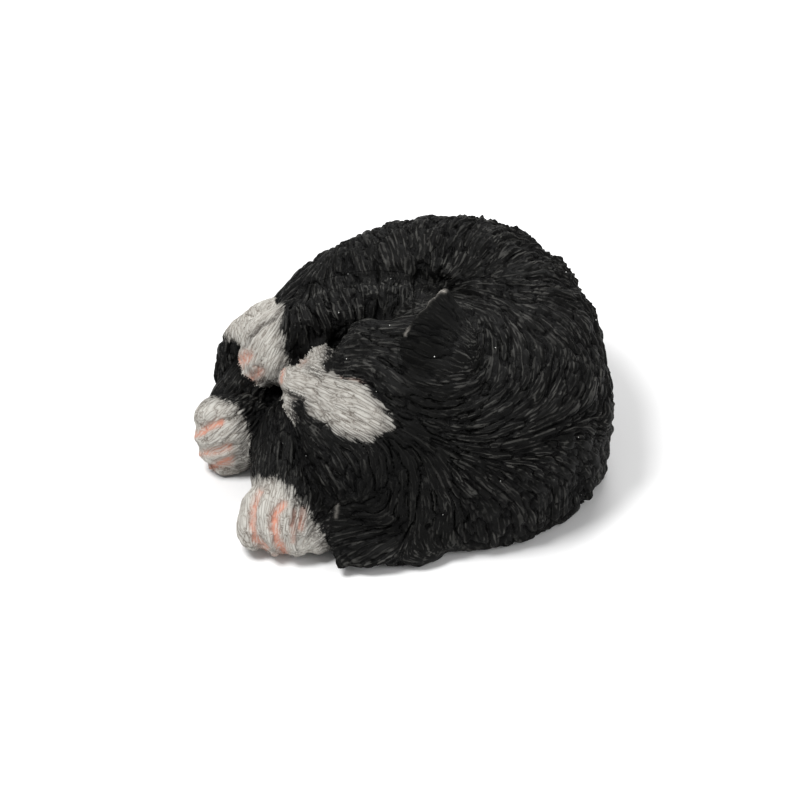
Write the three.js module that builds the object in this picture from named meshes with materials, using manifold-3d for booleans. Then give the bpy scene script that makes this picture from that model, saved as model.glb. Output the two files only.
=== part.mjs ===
// A cat curled up asleep on its left side: a painted resin ornament, glued together from its castings.
// Millimetres. X runs from the paws towards the flank, Y from the crown towards the back, Z up.

import * as THREE from 'three';
import { mergeVertices } from 'three/addons/utils/BufferGeometryUtils.js';
import Module from 'manifold-3d';

const wasm = await Module();
wasm.setup();

const vec = (x, y, z) => new THREE.Vector3(x, y, z);
const UP = vec(0, 0, 1);

// Driving sizes: what the castings stand on and how they are joined

const GLUE_GAP = 0.3;
const PAD_THICKNESS = 1.5;
const PAD_DIAMETER = 12;
const TRUNK_WALL = 5;
const FLOOR_THICKNESS = 7;
const PLATE_THICKNESS = 3;
const PLATE_RADIUS = 33;
const PLATE_LEDGE = 4;
const PLATE_X = 29;
const PLATE_Y = 24;

// The coarsest of the carved locks of hair: low ridges, staggered like tiles, round the trunk and the head

const LOCK_HEIGHT = 1.4;
const RINGS_PER_LOCK = 4;

// The ring that the trunk curls into, round an upright axis in its eye

const CURL_X = 13;
const CURL_Y = 21;
const EYE_RADIUS = 1.2;
const TRUNK_REACH = 41;
const TRUNK_RISE = 35;
const TRUNK_DROP = 44;
const TRUNK_LEVEL = 37;
const LOWER_FULLNESS = 0.46;
const END_ROUNDING = 0.8;

// One station for each direction round the curl, in degrees from +X. The four numbers are shares of the
// sizes above: how far out the middle of the barrel lies and how far it bulges past that, how high its back
// rises, how high its middle lies

const trunkStations = [
  { turn: -112, mid: 0.93, out: 0.8, rise: 0.62, level: 0.74 },
  { turn: -92, mid: 1.05, out: 1.09, rise: 0.78, level: 0.83 },
  { turn: -68, mid: 1.06, out: 1.17, rise: 0.9, level: 0.9 },
  { turn: -40, mid: 0.99, out: 1.08, rise: 0.97, level: 0.97 },
  { turn: -10, mid: 0.87, out: 0.84, rise: 0.98, level: 1 },
  { turn: 25, mid: 0.8, out: 0.76, rise: 1, level: 1.01 },
  { turn: 60, mid: 0.74, out: 0.78, rise: 1.04, level: 1.03 },
  { turn: 95, mid: 0.71, out: 0.71, rise: 1.02, level: 1.02 },
  { turn: 130, mid: 0.78, out: 0.73, rise: 0.98, level: 0.96 },
  { turn: 162, mid: 0.98, out: 0.72, rise: 0.9, level: 0.87 },
];

// Two swellings of the trunk: the shoulder beside the eye of the curl, and the nape that leads to the head

const SHOULDER_SIZES = [44, 40, 30];
const shoulderMiddle = vec(24, -6, 40);
const NAPE_SIZES = [36, 35, 33];
const napeMiddle = vec(24, -30, 32);

// Head: the middle of the skull, where the nose points and where the right ear points

const SKULL = vec(-4, -27, 31);
const NOSE_WAY = vec(-0.825, 0.555, 0.1).normalize();
const RIGHT_EAR_WAY = vec(0.38, 0.44, 0.81);
const HEAD_HALF_WIDTH = 48;
const HEAD_HALF_DEPTH = 34;
const MUZZLE_AT = 39;
const BROW_AT = 15.5;

// Lobes on the head: the right and left whisker pads, the nose, the chin and the right brow

const headLobes = [
  { nose: MUZZLE_AT - 1, ear: 10.5, crown: 0, sizes: [11, 9.5, 10] },
  { nose: MUZZLE_AT + 2, ear: -10, crown: -6, sizes: [10, 10, 9.5] },
  { nose: MUZZLE_AT + 5, ear: 0.5, crown: 0, sizes: [8.5, 6.5, 6.5] },
  { nose: MUZZLE_AT - 3, ear: -2, crown: -14, sizes: [11, 11, 8] },
  { nose: BROW_AT, ear: 27, crown: 9, sizes: [18, 13, 12] },
];

// The fringe of hair on the lower cheek, which reaches down to the table beside the left ear

const FRINGE_SIZES = [17, 8, 7];
const fringePlace = [-30.8, -0.732, 0.337];

// The head's own directions

const earWay = RIGHT_EAR_WAY.clone().addScaledVector(NOSE_WAY, -RIGHT_EAR_WAY.dot(NOSE_WAY)).normalize();
const crownWay = vec().crossVectors(earWay, NOSE_WAY);

function inHead(nose, ear, crown) {
  return SKULL.clone()
    .addScaledVector(NOSE_WAY, nose)
    .addScaledVector(earWay, ear)
    .addScaledVector(crownWay, crown);
}

// A place on the head: millimetres towards the nose, and shares of the head's half width and half depth

function onHead([nose, ear, crown]) {
  return inHead(nose, ear * HEAD_HALF_WIDTH, crown * HEAD_HALF_DEPTH);
}

// Each ear lies the way the sleeping head presses it: the right one over the nape, the left one on the table

const EAR_HALF_THICKNESS = 2.4;
const EAR_WIDTH = 31;
const earRight = {
  root: onHead([-18.7, 0.616, 0.684]),
  middle: onHead([-9, 0.987, 0.357]),
  tip: onHead([4.1, 1.251, -0.109]),
  across: vec(1, 0.1, -0.12),
  bow: 2,
};
const earLeft = {
  root: onHead([-14.6, -0.55, 0.453]),
  middle: onHead([-16.2, -0.835, 0.645]),
  tip: onHead([-17.2, -1.114, 0.872]),
  across: vec(0.8, -0.45, -0.35),
  bow: 5,
};

// Limbs: where their middle lines run, and their thickness there as a share of the limb's radius

const FORELEG_RADIUS = 13;
const HIND_LEG_RADIUS = 13;
const TAIL_RADIUS = 9.5;

const upperForeleg = [
  { p: vec(20, 14, 42), girth: 1.08 },
  { p: vec(4, 24, 50.5), girth: 1.06 },
  { p: vec(-12, 25, 52), girth: 1.06 },
  { p: vec(-30, 23, 49.5), girth: 1 },
  { p: vec(-46, 20, 44), girth: 0.92 },
];
const lowerForeleg = [
  { p: vec(-27, 6, 17), girth: 1.25 },
  { p: vec(-40, -10, 17), girth: 1.22 },
  { p: vec(-44, -29, 15), girth: 1.14 },
  { p: vec(-44.5, -48, 14), girth: 1.06 },
];
const hindLimb = [
  { p: vec(-42, 30, 18), girth: 1.05 },
  { p: vec(-54, 21, 18), girth: 1 },
  { p: vec(-62, 9, 17), girth: 1 },
  { p: vec(-66.5, -2.5, 15.5), girth: 1 },
];
const tailLine = [
  { p: vec(-36.5, 38.5, 39), girth: 1 },
  { p: vec(-51, 36.5, 37.5), girth: 1 },
  { p: vec(-62, 32, 30), girth: 1 },
  { p: vec(-66, 27, 18), girth: 0.95 },
  { p: vec(-61.5, 20, 10), girth: 0.85 },
];

// Paws: the middle of the toes' roots, where the toes point, which side is their back, the toes' own sizes

const upperPaw = {
  middle: vec(-53.5, 15, 38),
  ahead: vec(-0.3, -0.45, -0.85),
  back: vec(-0.75, -0.5, 0.3),
  toeSpacing: 6.4,
  height: 18,
  length: 14,
};
const lowerPaw = {
  middle: vec(-44.5, -59.5, 13),
  ahead: vec(-0.04, -1, -0.15),
  back: UP,
  toeSpacing: 8.8,
  height: 24,
  length: 17,
};
const hindPaw = {
  middle: vec(-68, -9, 15.5),
  ahead: vec(-0.88, -0.45, -0.15),
  back: vec(0.42, -0.85, 0.32),
  toeSpacing: 7.4,
  height: 23,
  length: 15,
};

// Closed solids

const WELD = 1e-4;

function solidOf(geometry) {
  const bare = geometry.index ? geometry.toNonIndexed() : geometry.clone();
  for (const name of Object.keys(bare.attributes)) {
    if (name !== 'position') bare.deleteAttribute(name);
  }
  const welded = mergeVertices(bare, WELD);
  return new wasm.Manifold(new wasm.Mesh({
    numProp: 3,
    vertProperties: new Float32Array(welded.attributes.position.array),
    triVerts: new Uint32Array(welded.index.array),
  }));
}

function geometryOf(solid) {
  const mesh = solid.getMesh();
  const geometry = new THREE.BufferGeometry();
  geometry.setAttribute('position', new THREE.BufferAttribute(mesh.vertProperties, 3));
  geometry.setIndex(new THREE.BufferAttribute(mesh.triVerts, 1));
  geometry.computeVertexNormals();
  return geometry;
}

const joined = (solids) => solids.reduce((sum, next) => sum.add(next));

// A skin over rings of points that turn the same way, closed by one point at each end

function skinOver(first, rings, last) {
  const around = rings[0].length;
  const points = [first, ...rings.flat(), last];
  const at = (ring, k) => 1 + ring * around + (k % around);
  const faces = [];
  for (let k = 0; k < around; k += 1) {
    faces.push(0, at(0, k + 1), at(0, k));
    faces.push(points.length - 1, at(rings.length - 1, k), at(rings.length - 1, k + 1));
    for (let ring = 0; ring + 1 < rings.length; ring += 1) {
      faces.push(at(ring, k), at(ring, k + 1), at(ring + 1, k + 1));
      faces.push(at(ring, k), at(ring + 1, k + 1), at(ring + 1, k));
    }
  }
  const geometry = new THREE.BufferGeometry().setFromPoints(points);
  geometry.setIndex(faces);
  return solidOf(geometry);
}

// Smooth values between stations, by a curve through them that has the stations' own slopes

function between(stations, key) {
  const names = Object.keys(stations[0]).filter((name) => name !== key && Number.isFinite(stations[0][name]));
  return (value) => {
    const next = stations.findIndex((s) => s[key] >= value);
    const n = Math.max(1, next < 0 ? stations.length - 1 : next);
    const [a, b] = [stations[n - 1], stations[n]];
    const before = stations[Math.max(0, n - 2)];
    const after = stations[Math.min(stations.length - 1, n + 1)];
    const span = b[key] - a[key];
    const t = THREE.MathUtils.clamp((value - a[key]) / span, 0, 1);
    const bend = (name) => {
      const leave = ((b[name] - before[name]) / (b[key] - before[key])) * span;
      const arrive = ((after[name] - a[name]) / (after[key] - a[key])) * span;
      const start = (1 + 2 * t) * (1 - t) ** 2 * a[name] + t * (1 - t) ** 2 * leave;
      return start + t * t * (3 - 2 * t) * b[name] + t * t * (t - 1) * arrive;
    };
    return Object.fromEntries(names.map((name) => [name, bend(name)]));
  };
}

// Rings of a form that ends in a dome at both ends: ring(place, scale, push) is one ring, and push runs past
// the end

function domed(ring, steps, dome) {
  const rings = [];
  for (let k = 1; k < dome; k += 1) {
    const angle = (Math.PI / 2) * (k / dome);
    rings.push(ring(0, Math.sin(angle), -Math.cos(angle)));
  }
  for (let k = 0; k <= steps; k += 1) rings.push(ring(k / steps, 1, 0));
  for (let k = dome - 1; k > 0; k -= 1) {
    const angle = (Math.PI / 2) * (k / dome);
    rings.push(ring(1, Math.sin(angle), Math.cos(angle)));
  }
  return rings;
}

// How far a point of a ring stands proud or is sunk as a carved lock: every other point is a ridge, and after a
// lock's length ridges and valleys change places

function lock(k, ring, height) {
  return (height / 2) * Math.cos(Math.PI * k) * Math.cos((Math.PI * ring) / RINGS_PER_LOCK);
}

// A loft: oval sections across a smooth line. Each station has its point p and its half sizes wide and high.
// `back` is the side that the high half size points to, and the section's edges bend away from it by `bow` times
// the square of their distance from the line

const LOFT = { steps: 9, around: 16, dome: 3, roundness: 0.9, bow: 0, locks: 0 };

function loft(form, grow = 0) {
  const { stations, back, steps, around, dome, roundness, bow, locks } = { ...LOFT, ...form };
  const line = new THREE.CatmullRomCurve3(stations.map((s) => s.p));
  const sizes = between(stations.map((s, n) => ({ n, wide: s.wide, high: s.high })), 'n');
  const endReach = (n) => roundness * Math.min(stations.at(n).wide, stations.at(n).high) + grow;
  const ring = (t, scale, push) => {
    const way = line.getTangent(t);
    const side = vec().crossVectors(back, way).normalize();
    const up = vec().crossVectors(way, side);
    const { wide, high } = sizes(t * (stations.length - 1));
    const middle = line.getPoint(t).addScaledVector(way, push * endReach(push < 0 ? 0 : -1));
    return Array.from({ length: around }, (_, k) => {
      const angle = (2 * Math.PI * k) / around;
      const proud = grow + lock(k, t * steps, locks);
      const x = Math.cos(angle) * scale * (wide + proud);
      const y = Math.sin(angle) * scale * (high + proud);
      return middle.clone().addScaledVector(side, x).addScaledVector(up, y - bow * x * x);
    });
  };
  const end = (t, n, sign) => line.getPoint(t).addScaledVector(line.getTangent(t), sign * endReach(n));
  return skinOver(end(0, 0, -1), domed(ring, steps, dome), end(1, -1, 1));
}

// An egg: a ball stretched along three directions

function egg({ middle, along, back, sizes, around = 10, locks = 0 }, grow = 0) {
  const x = along.clone().normalize();
  const y = vec().crossVectors(back, x).normalize();
  const z = vec().crossVectors(x, y);
  const ball = new THREE.SphereGeometry(1, around, Math.round(around * 0.7));
  const spots = ball.attributes.position;
  for (let n = 0; n < spots.count; n += 1) {
    const spot = vec().fromBufferAttribute(spots, n);
    const k = (Math.atan2(spot.z, spot.x) * around) / (2 * Math.PI);
    const proud = grow + lock(k, 0, locks) * Math.hypot(spot.x, spot.z);
    spots.setXYZ(n, ...spot.toArray().map((share, axis) => share * (sizes[axis] + proud)));
  }
  ball.applyMatrix4(new THREE.Matrix4().makeBasis(x, y, z).setPosition(middle));
  return solidOf(ball);
}

// Trunk: in each upright plane through the curl's axis its section is an oval that never crosses the axis, and
// that is fuller below, where it stands on the ground

const ROUND_THE_TRUNK = 26;
const ALONG_THE_TRUNK = 28;
const ROUND_A_SWELLING = 24;

function trunkBarrel(grow = 0, coarseness = 1, locks = LOCK_HEIGHT) {
  const at = between(trunkStations, 'turn');
  const [from, to] = [trunkStations[0].turn, trunkStations.at(-1).turn];
  const around = Math.round(ROUND_THE_TRUNK / coarseness);
  const steps = Math.round(ALONG_THE_TRUNK / coarseness);
  const sizes = (turn) => {
    const shares = at(turn);
    return {
      mid: shares.mid * TRUNK_REACH,
      out: shares.out * TRUNK_REACH + grow,
      rise: shares.rise * TRUNK_RISE + grow,
      level: shares.level * TRUNK_LEVEL,
    };
  };
  const point = (turn, r, z) => {
    const angle = THREE.MathUtils.degToRad(turn);
    return vec(CURL_X + r * Math.cos(angle), CURL_Y + r * Math.sin(angle), z);
  };
  const endReach = (n) => {
    const { mid, out } = sizes(trunkStations.at(n).turn);
    return THREE.MathUtils.radToDeg((out * END_ROUNDING) / mid);
  };
  const turnAt = (t, push) => from + (to - from) * t + push * endReach(push < 0 ? 0 : -1);
  const ring = (t, scale, push) => {
    const turn = turnAt(t, push);
    const { mid, out, rise, level } = sizes(turn);
    const inwards = mid - EYE_RADIUS + Math.min(0, grow);
    return Array.from({ length: around }, (_, k) => {
      const proud = lock(k, t * steps, locks);
      const angle = -(2 * Math.PI * k) / around;
      const [c, s] = [Math.cos(angle), Math.sin(angle)];
      const power = s < 0 && c > 0 ? LOWER_FULLNESS : 1;
      const across = (c > 0 ? out + proud : inwards) * Math.sign(c) * Math.abs(c) ** power;
      const height = (s > 0 ? rise + proud : TRUNK_DROP + grow) * Math.sign(s) * Math.abs(s) ** power;
      return point(turn, mid + across * scale, level + height * scale);
    });
  };
  const end = (t, push) => {
    const turn = turnAt(t, push);
    const { mid, level } = sizes(turn);
    return point(turn, mid, level);
  };
  return skinOver(end(0, -1), domed(ring, steps, 4), end(1, 1));
}

function trunkForm(grow = 0, coarseness = 1, locks = LOCK_HEIGHT) {
  const around = Math.round(ROUND_A_SWELLING / coarseness);
  const swelling = (middle, sizes) => egg({
    middle, along: vec(1, 0, 0), back: UP, sizes, around, locks,
  }, grow);
  return joined([
    trunkBarrel(grow, coarseness, locks),
    swelling(shoulderMiddle, SHOULDER_SIZES),
    swelling(napeMiddle, NAPE_SIZES),
  ]);
}

// Head: sections across the line from the nape to the muzzle, to which the lobes and the fringe are joined

const headStations = [
  { nose: -44, crown: -12, wide: 0.46, high: 0.5 },
  { nose: -31, crown: -6, wide: 0.77, high: 0.83 },
  { nose: -16, crown: -2, wide: 0.96, high: 0.98 },
  { nose: 0, crown: -1, wide: 1, high: 1 },
  { nose: 14, crown: -3, wide: 0.91, high: 0.87 },
  { nose: 26, crown: -4, wide: 0.68, high: 0.68 },
  { nose: MUZZLE_AT, crown: -5, wide: 0.38, high: 0.47 },
];

function headForm(grow = 0) {
  const stations = headStations.map(({ nose, crown, wide, high }) => ({
    p: inHead(nose, 0, crown),
    wide: wide * HEAD_HALF_WIDTH,
    high: high * HEAD_HALF_DEPTH,
  }));
  const lobe = ({ nose, ear, crown, sizes }) => egg({
    middle: inHead(nose, ear, crown), along: NOSE_WAY, back: crownWay, sizes, around: 14,
  }, grow);
  const skull = { stations, back: crownWay, steps: 15, around: 24, dome: 4, roundness: 0.5, locks: LOCK_HEIGHT };
  return joined([
    loft(skull, grow),
    ...headLobes.map(lobe),
    egg({ middle: onHead(fringePlace), along: vec(1, 0, 0), back: UP, sizes: FRINGE_SIZES }, grow),
  ]);
}

// Ears: a leaf-shaped flap, bowed like a shell

const earStations = [
  { along: 0, wide: 0.34, high: 1 },
  { along: 0.2, wide: 0.46, high: 1 },
  { along: 0.42, wide: 0.5, high: 1 },
  { along: 0.65, wide: 0.37, high: 1 },
  { along: 0.85, wide: 0.17, high: 0.9 },
  { along: 0.97, wide: 0.06, high: 0.7 },
];

function earForm({ root, middle, tip, across, bow }, grow = 0) {
  const spine = new THREE.CatmullRomCurve3([root, middle, tip]);
  const stations = earStations.map(({ along, wide, high }) => ({
    p: spine.getPoint(along),
    wide: wide * EAR_WIDTH,
    high: high * EAR_HALF_THICKNESS,
  }));
  const back = vec().crossVectors(across, tip.clone().sub(root)).normalize();
  return loft({ stations, back, steps: 10, around: 16, bow: bow / (EAR_WIDTH / 2) ** 2 }, grow);
}

// Paws: four toes side by side in front of a rounded instep

function pawForm({ middle, ahead, back, toeSpacing, height, length }, grow = 0) {
  const front = ahead.clone().normalize();
  const side = vec().crossVectors(back, front).normalize();
  const top = vec().crossVectors(front, side);
  const instep = {
    middle: middle.clone().addScaledVector(front, -0.25 * length),
    along: front,
    back: top,
    sizes: [length * 1.05, toeSpacing * 2.1, height / 2],
    around: 14,
  };
  const toe = (place) => {
    const outer = Math.abs(place) > 1;
    return {
      middle: middle.clone()
        .addScaledVector(front, length * (outer ? 0.05 : 0.22))
        .addScaledVector(side, place * toeSpacing * 0.95)
        .addScaledVector(top, height * (outer ? -0.1 : -0.04)),
      along: front.clone().addScaledVector(side, place * 0.03).addScaledVector(top, -0.12),
      back: top,
      sizes: [length * 0.72, toeSpacing * 0.82, height * (outer ? 0.38 : 0.44)],
      around: 8,
    };
  };
  return joined([instep, ...[-1.5, -0.5, 0.5, 1.5].map(toe)].map((shape) => egg(shape, grow)));
}

function limbForm(line, radius, back, grow, steps = LOFT.steps) {
  const stations = line.map(({ p, girth }) => ({ p, wide: girth * radius, high: girth * radius }));
  return loft({ stations, back, steps }, grow);
}

function footedLimb(line, radius, paw) {
  return (grow = 0) => limbForm(line, radius, UP, grow).add(pawForm(paw, grow));
}

// Everything stands on one plane, where the felt pads begin

function drum(x, y, radius, low, high, around = 48) {
  const shape = new THREE.CylinderGeometry(radius, radius, high - low, around);
  shape.rotateX(Math.PI / 2);
  shape.translate(x, y, (low + high) / 2);
  return solidOf(shape);
}

function above(level) {
  const ROOM = 400;
  const box = new THREE.BoxGeometry(ROOM, ROOM, ROOM);
  box.translate(0, 0, level + ROOM / 2);
  return solidOf(box);
}

// The castings that lie on the trunk, in the order in which they press into each other: each is cut by those
// before it

const castings = [
  { name: 'head_casting', form: headForm },
  { name: 'ear_right', form: (grow) => earForm(earRight, grow) },
  { name: 'ear_left', form: (grow) => earForm(earLeft, grow) },
  { name: 'foreleg_right', form: footedLimb(upperForeleg, FORELEG_RADIUS, upperPaw) },
  { name: 'foreleg_left', form: footedLimb(lowerForeleg, FORELEG_RADIUS, lowerPaw) },
  { name: 'hind_leg', form: footedLimb(hindLimb, HIND_LEG_RADIUS, hindPaw) },
  { name: 'tail', form: (grow = 0) => limbForm(tailLine, TAIL_RADIUS, vec(0, -1, 0.1), grow, 12) },
];
const group = new THREE.Group();
const BLACK = 0x1b1b19;
const FELT = 0x2a2926;

function place(name, solid, color, roughness) {
  const material = new THREE.MeshStandardMaterial({ color, roughness, metalness: 0 });
  const mesh = new THREE.Mesh(geometryOf(solid), material);
  mesh.name = name;
  group.add(mesh);
}

const clearOf = (solid, others, gap) => others.reduce((rest, other) => rest.subtract(other.form(gap)), solid);
const ground = above(PAD_THICKNESS);
castings.forEach((casting, n) => {
  const solid = clearOf(casting.form(0), castings.slice(0, n), GLUE_GAP);
  place(casting.name, solid.intersect(ground), BLACK, 0.55);
});

// The trunk casting: a shell with pockets for the castings above, and a floor with a rebated opening

function trunkCasting() {
  const cavity = clearOf(trunkForm(-TRUNK_WALL, 2, 0), castings, TRUNK_WALL)
    .intersect(above(PAD_THICKNESS + FLOOR_THICKNESS));
  const floorTop = PAD_THICKNESS + FLOOR_THICKNESS + GLUE_GAP;
  const seatTop = PAD_THICKNESS + PLATE_THICKNESS + GLUE_GAP;
  return clearOf(trunkForm(), castings, GLUE_GAP)
    .intersect(ground)
    .subtract(cavity)
    .subtract(drum(PLATE_X, PLATE_Y, PLATE_RADIUS - PLATE_LEDGE, 0, floorTop))
    .subtract(drum(PLATE_X, PLATE_Y, PLATE_RADIUS + GLUE_GAP, 0, seatTop));
}

place('trunk_casting', trunkCasting(), BLACK, 0.55);
const plateTop = PAD_THICKNESS + PLATE_THICKNESS;
place('base_plate', drum(PLATE_X, PLATE_Y, PLATE_RADIUS, PAD_THICKNESS, plateTop), BLACK, 0.6);

// Felt pads, one under the head and three under the trunk's floor

const padPlaces = {
  felt_pad_head: [-12, -42],
  felt_pad_flank: [66, -20],
  felt_pad_back: [50, 54],
  felt_pad_rump: [-22, 50],
};
for (const [name, [x, y]] of Object.entries(padPlaces)) {
  place(name, drum(x, y, PAD_DIAMETER / 2, 0, PAD_THICKNESS, 24), FELT, 0.95);
}

// The origin is in the middle of the box that the ornament fills, at its foot

const box = new THREE.Box3().setFromObject(group);
group.position.set(-(box.min.x + box.max.x) / 2, -(box.min.y + box.max.y) / 2, -box.min.z);
group.updateMatrixWorld(true);

export default group;
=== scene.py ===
# %% [markdown]
# A painted resin ornament: a black-and-white cat curled up asleep. The sculptor carved its coat as thousands
# of short locks of hair, then it was cast, glued together and painted. The CAD frame gives the castings at
# their real size. This lesson gives them their skin: one smooth sculpted form, real carved hair, soft edges
# between the paints, the grey that a dry brush leaves on the ridges, which also serves as painted highlight,
# and painted shade in the valleys and creases.

# %% The frame
import math
import time

import bmesh
import bpy
import numpy as np
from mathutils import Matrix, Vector
from mathutils.bvhtree import BVHTree


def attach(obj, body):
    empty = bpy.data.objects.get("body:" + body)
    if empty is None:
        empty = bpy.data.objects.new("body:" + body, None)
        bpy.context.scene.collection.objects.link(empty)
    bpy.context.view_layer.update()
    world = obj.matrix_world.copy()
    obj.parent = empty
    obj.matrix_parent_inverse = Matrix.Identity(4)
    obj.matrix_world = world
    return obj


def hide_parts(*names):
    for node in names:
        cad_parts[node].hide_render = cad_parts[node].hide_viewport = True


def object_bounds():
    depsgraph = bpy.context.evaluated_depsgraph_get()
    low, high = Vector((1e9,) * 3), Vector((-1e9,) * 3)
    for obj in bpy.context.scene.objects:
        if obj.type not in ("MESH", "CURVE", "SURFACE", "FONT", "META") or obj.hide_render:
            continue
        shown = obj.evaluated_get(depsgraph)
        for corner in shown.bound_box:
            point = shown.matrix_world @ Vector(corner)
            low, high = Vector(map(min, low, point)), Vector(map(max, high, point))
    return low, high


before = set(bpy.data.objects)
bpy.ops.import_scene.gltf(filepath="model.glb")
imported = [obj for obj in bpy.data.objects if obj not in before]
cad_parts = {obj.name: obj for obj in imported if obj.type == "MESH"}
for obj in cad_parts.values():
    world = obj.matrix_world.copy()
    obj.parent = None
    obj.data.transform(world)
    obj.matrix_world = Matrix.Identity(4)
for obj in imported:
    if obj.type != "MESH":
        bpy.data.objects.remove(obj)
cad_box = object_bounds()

MM = 0.001
started = time.perf_counter()
CASTINGS = ["trunk_casting", "head_casting", "ear_right", "ear_left",
            "foreleg_right", "foreleg_left", "hind_leg", "tail"]


def told(what):
    print(f"{time.perf_counter() - started:6.1f} s  {what}")


told(f"frame of {len(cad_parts)} nodes, {[round(1000 * s) for s in (cad_box[1] - cad_box[0])]} mm")

# %% [markdown]
# The camera stands about where the photographer stood: in front of the ornament, far away with a long lens,
# and 38 degrees above the table, which is a judgement from the picture. Every place that is read off the
# photograph is given as millimetres across and up the picture, from the middle of the ornament's foot.
# `in_picture` turns a point into those two numbers and its depth towards the camera.

# %% Camera
ELEVATION = math.radians(38)
PICTURE_WIDTH = 320 * MM
FAR = 3.0  # metres
SENSOR = 36  # millimetres
RIGHT = np.array([1.0, 0.0, 0.0])
UPWARD = np.array([0.0, math.sin(ELEVATION), math.cos(ELEVATION)])
TOWARD = np.array([0.0, -math.cos(ELEVATION), math.sin(ELEVATION)])
FOOT = np.array([-0.55, 0.85, 0.0]) * MM  # the middle of the ornament's foot
AIM_HEIGHT = 20.8  # millimetres up the picture
AIM = FOOT + UPWARD * AIM_HEIGHT * MM


def piece_of(name, data):
    piece = bpy.data.objects.new(name, data)
    bpy.context.scene.collection.objects.link(piece)
    return piece


camera_data = bpy.data.cameras.new("camera")
camera_data.sensor_width = SENSOR
camera_data.lens = SENSOR * FAR / PICTURE_WIDTH
camera = piece_of("camera", camera_data)
camera.location = AIM + TOWARD * FAR
camera.rotation_euler = (math.pi / 2 - ELEVATION, 0, 0)
bpy.context.scene.camera = camera


def in_picture(points):
    """Millimetres across and up the picture, and towards the camera, for points in metres."""
    away = (points - AIM) / MM
    near = away @ TOWARD
    shrink = 1 - near * MM / FAR
    return np.stack([away @ RIGHT / shrink, away @ UPWARD / shrink + AIM_HEIGHT, near], 1)


# %% [markdown]
# Numpy works on a whole skin at once, so a mesh is taken apart into arrays of points and four-cornered
# faces, and put together again afterwards. Halving every square gives a finer skin, and any value on the
# points goes with it.

# %% Meshes as arrays
def points_of(mesh):
    flat = np.empty(len(mesh.vertices) * 3, np.float32)
    mesh.vertices.foreach_get("co", flat)
    return flat.reshape(-1, 3).astype(float)


def quads_of(mesh):
    flat = np.empty(len(mesh.loops), np.int32)
    mesh.loops.foreach_get("vertex_index", flat)
    return flat.reshape(-1, 4)


def sides_of(quads, count):
    """Every edge once, and the numbers of the four edges of each square."""
    ahead = np.roll(quads, -1, axis=1)
    key = np.minimum(quads, ahead).astype(np.int64) * count + np.maximum(quads, ahead)
    names, number = np.unique(key.ravel(), return_inverse=True)
    return np.stack([names // count, names % count], 1), number.reshape(quads.shape)


def normals_of(points, quads):
    crossed = np.cross(points[quads[:, 2]] - points[quads[:, 0]], points[quads[:, 3]] - points[quads[:, 1]])
    corners = quads.ravel()
    total = np.stack([np.bincount(corners, np.repeat(crossed[:, k], 4), len(points)) for k in range(3)], 1)
    return total / np.maximum(np.linalg.norm(total, axis=1), 1e-15)[:, None]


def halved(quads, edges, sides, values):
    """Each square becomes four, and each value is averaged onto the new points."""
    count = len(values[0])
    side = count + sides
    middle = np.broadcast_to((count + len(edges) + np.arange(len(quads)))[:, None], quads.shape)
    finer = np.stack([quads, side, middle, np.roll(side, 1, axis=1)], 2).reshape(-1, 4)
    return finer, [np.concatenate([v, v[edges].mean(1), v[quads].mean(1)]) for v in values]


def mesh_of(name, points, quads):
    mesh = bpy.data.meshes.new(name)
    mesh.vertices.add(len(points))
    mesh.vertices.foreach_set("co", points.astype(np.float32).ravel())
    mesh.loops.add(quads.size)
    mesh.loops.foreach_set("vertex_index", quads.astype(np.int32).ravel())
    mesh.polygons.add(len(quads))
    mesh.polygons.foreach_set("loop_start", np.arange(0, quads.size, quads.shape[1], dtype=np.int32))
    mesh.update(calc_edges=True)
    return mesh


def baked(piece):
    """A plain mesh of the piece with its modifiers applied; the piece goes."""
    bpy.context.view_layer.update()
    mesh = bpy.data.meshes.new_from_object(piece.evaluated_get(bpy.context.evaluated_depsgraph_get()))
    bpy.data.objects.remove(piece)
    return mesh


# %% [markdown]
# The sculptor worked in one lump of clay, and only the mould maker cut it into castings. So the eight
# castings are joined first: each is swollen to close the glue gaps, the base plate plugs the hollow, and a
# voxel remesh turns all of them into one skin of even squares, which then sinks back by what it was
# swollen. Modelling a seamless skin by hand would also work, but it would drift away from the castings'
# sizes.

# %% One lump of clay
SWELL = 0.8 * MM
SINK_BACK = 0.65 * MM
PLUG = 1.3 * MM
CLAY_VOXEL = 0.9 * MM
WELD = 0.001 * MM
GROUND = 1.5 * MM  # the underside of the castings, which stands on the felt pads


def swollen(swells):
    """One mesh of the named castings, each grown outwards by its own amount."""
    lump = bmesh.new()
    for node, by in swells.items():
        form = bmesh.new()
        form.from_mesh(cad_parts[node].data)
        bmesh.ops.remove_doubles(form, verts=form.verts, dist=WELD)
        form.normal_update()
        for vertex, normal in [(v, v.normal.copy()) for v in form.verts]:
            vertex.co += normal * by
        grown = bpy.data.meshes.new("grown")
        form.to_mesh(grown)
        form.free()
        lump.from_mesh(grown)
    mesh = bpy.data.meshes.new("swollen")
    lump.to_mesh(mesh)
    lump.free()
    return mesh


def remeshed(mesh, voxel):
    piece = piece_of("lump", mesh)
    remesh = piece.modifiers.new("even_squares", "REMESH")
    remesh.mode = "VOXEL"
    remesh.voxel_size = voxel
    return baked(piece)


def outer_skin(mesh):
    """Points and squares of the largest island, which leaves closed hollows behind."""
    quads, island = quads_of(mesh), np.arange(len(mesh.vertices))
    edges, _ = sides_of(quads, len(island))
    while True:
        before = island.copy()
        low = np.minimum(island[edges[:, 0]], island[edges[:, 1]])
        np.minimum.at(island, edges[:, 0], low)
        np.minimum.at(island, edges[:, 1], low)
        island = island[island]
        if np.array_equal(before, island):
            break
    names, sizes = np.unique(island, return_counts=True)
    kept = island == names[sizes.argmax()]
    number = np.cumsum(kept) - 1
    return points_of(mesh)[kept], number[quads[kept[quads[:, 0]]]]


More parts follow.
